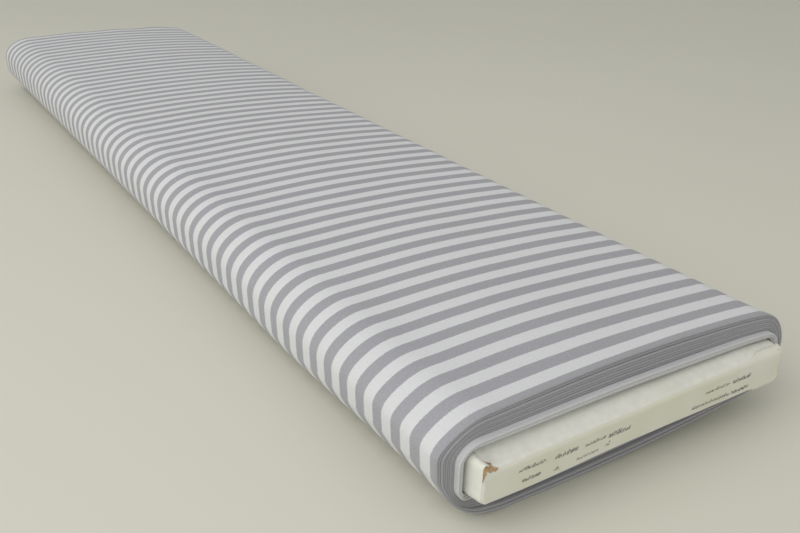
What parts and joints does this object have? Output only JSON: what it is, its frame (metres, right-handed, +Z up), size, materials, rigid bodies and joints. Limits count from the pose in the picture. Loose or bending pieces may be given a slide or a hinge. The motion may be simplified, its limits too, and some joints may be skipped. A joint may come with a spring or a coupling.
{
  "type": "fabric bolt",
  "caption": "Flat bolt of striped cloth, folded double and wound round a hollow card board with an end label; the board slides out, its end flaps open and the cloth's end lifts",
  "frame": {"origin": "the middle of the bolt's length and width, on the surface that it lies on", "axes": "+X along the bolt towards the end that carries the label, +Z up through the flat of the bolt, +Y across it to the side that the loose end of the cloth hangs over"},
  "size_m": [0.7586, 0.1911, 0.05],
  "materials": {
    "cloth": "soft cotton in equal grey and white stripes that run round the bolt",
    "card": "white-lined corrugated card, matt, scuffed along its edges",
    "kraft": "bare brown corrugated card",
    "label": "smooth off-white paper with small grey marks"
  },
  "bodies": {
    "cloth_roll": {"cloth_inner_laps": "cloth", "cloth_outer_laps": "cloth"},
    "board": {"board_top_panel": "card", "board_bottom_panel": "card", "board_left_wall": "card", "board_right_wall": "card", "board_glue_seam": "kraft", "folded_stiffener": "kraft"},
    "near_flap": {"near_end_flap": "card", "end_label": "label"},
    "far_flap": {"far_end_flap": "card"},
    "tail_top": {"cloth_tail_upper": "cloth"},
    "tail_end": {"cloth_tail_lower": "cloth"}
  },
  "joints": [
    {"name": "board_slide", "type": "slide", "parent": "cloth_roll", "child": "board", "axis": [1, 0, 0], "range_m": [-0.008, 0.36]},
    {"name": "near_flap_crease", "type": "hinge", "parent": "board", "child": "near_flap", "pos_m": [0.3787, 0, 0.03429], "axis": [0, -1, 0], "range_deg": [0, 90]},
    {"name": "far_flap_crease", "type": "hinge", "parent": "board", "child": "far_flap", "pos_m": [-0.3713, 0, 0.03429], "axis": [0, 1, 0], "range_deg": [0, 90]},
    {"name": "tail_shoulder", "type": "hinge", "parent": "cloth_roll", "child": "tail_top", "pos_m": [0, 0.07681, 0.04721], "axis": [1, 0, 0], "range_deg": [0, 140]},
    {"name": "tail_waist", "type": "hinge", "parent": "tail_top", "child": "tail_end", "pos_m": [0, 0.09562, 0.01778], "axis": [1, 0, 0], "range_deg": [0, 90]}
  ]
}
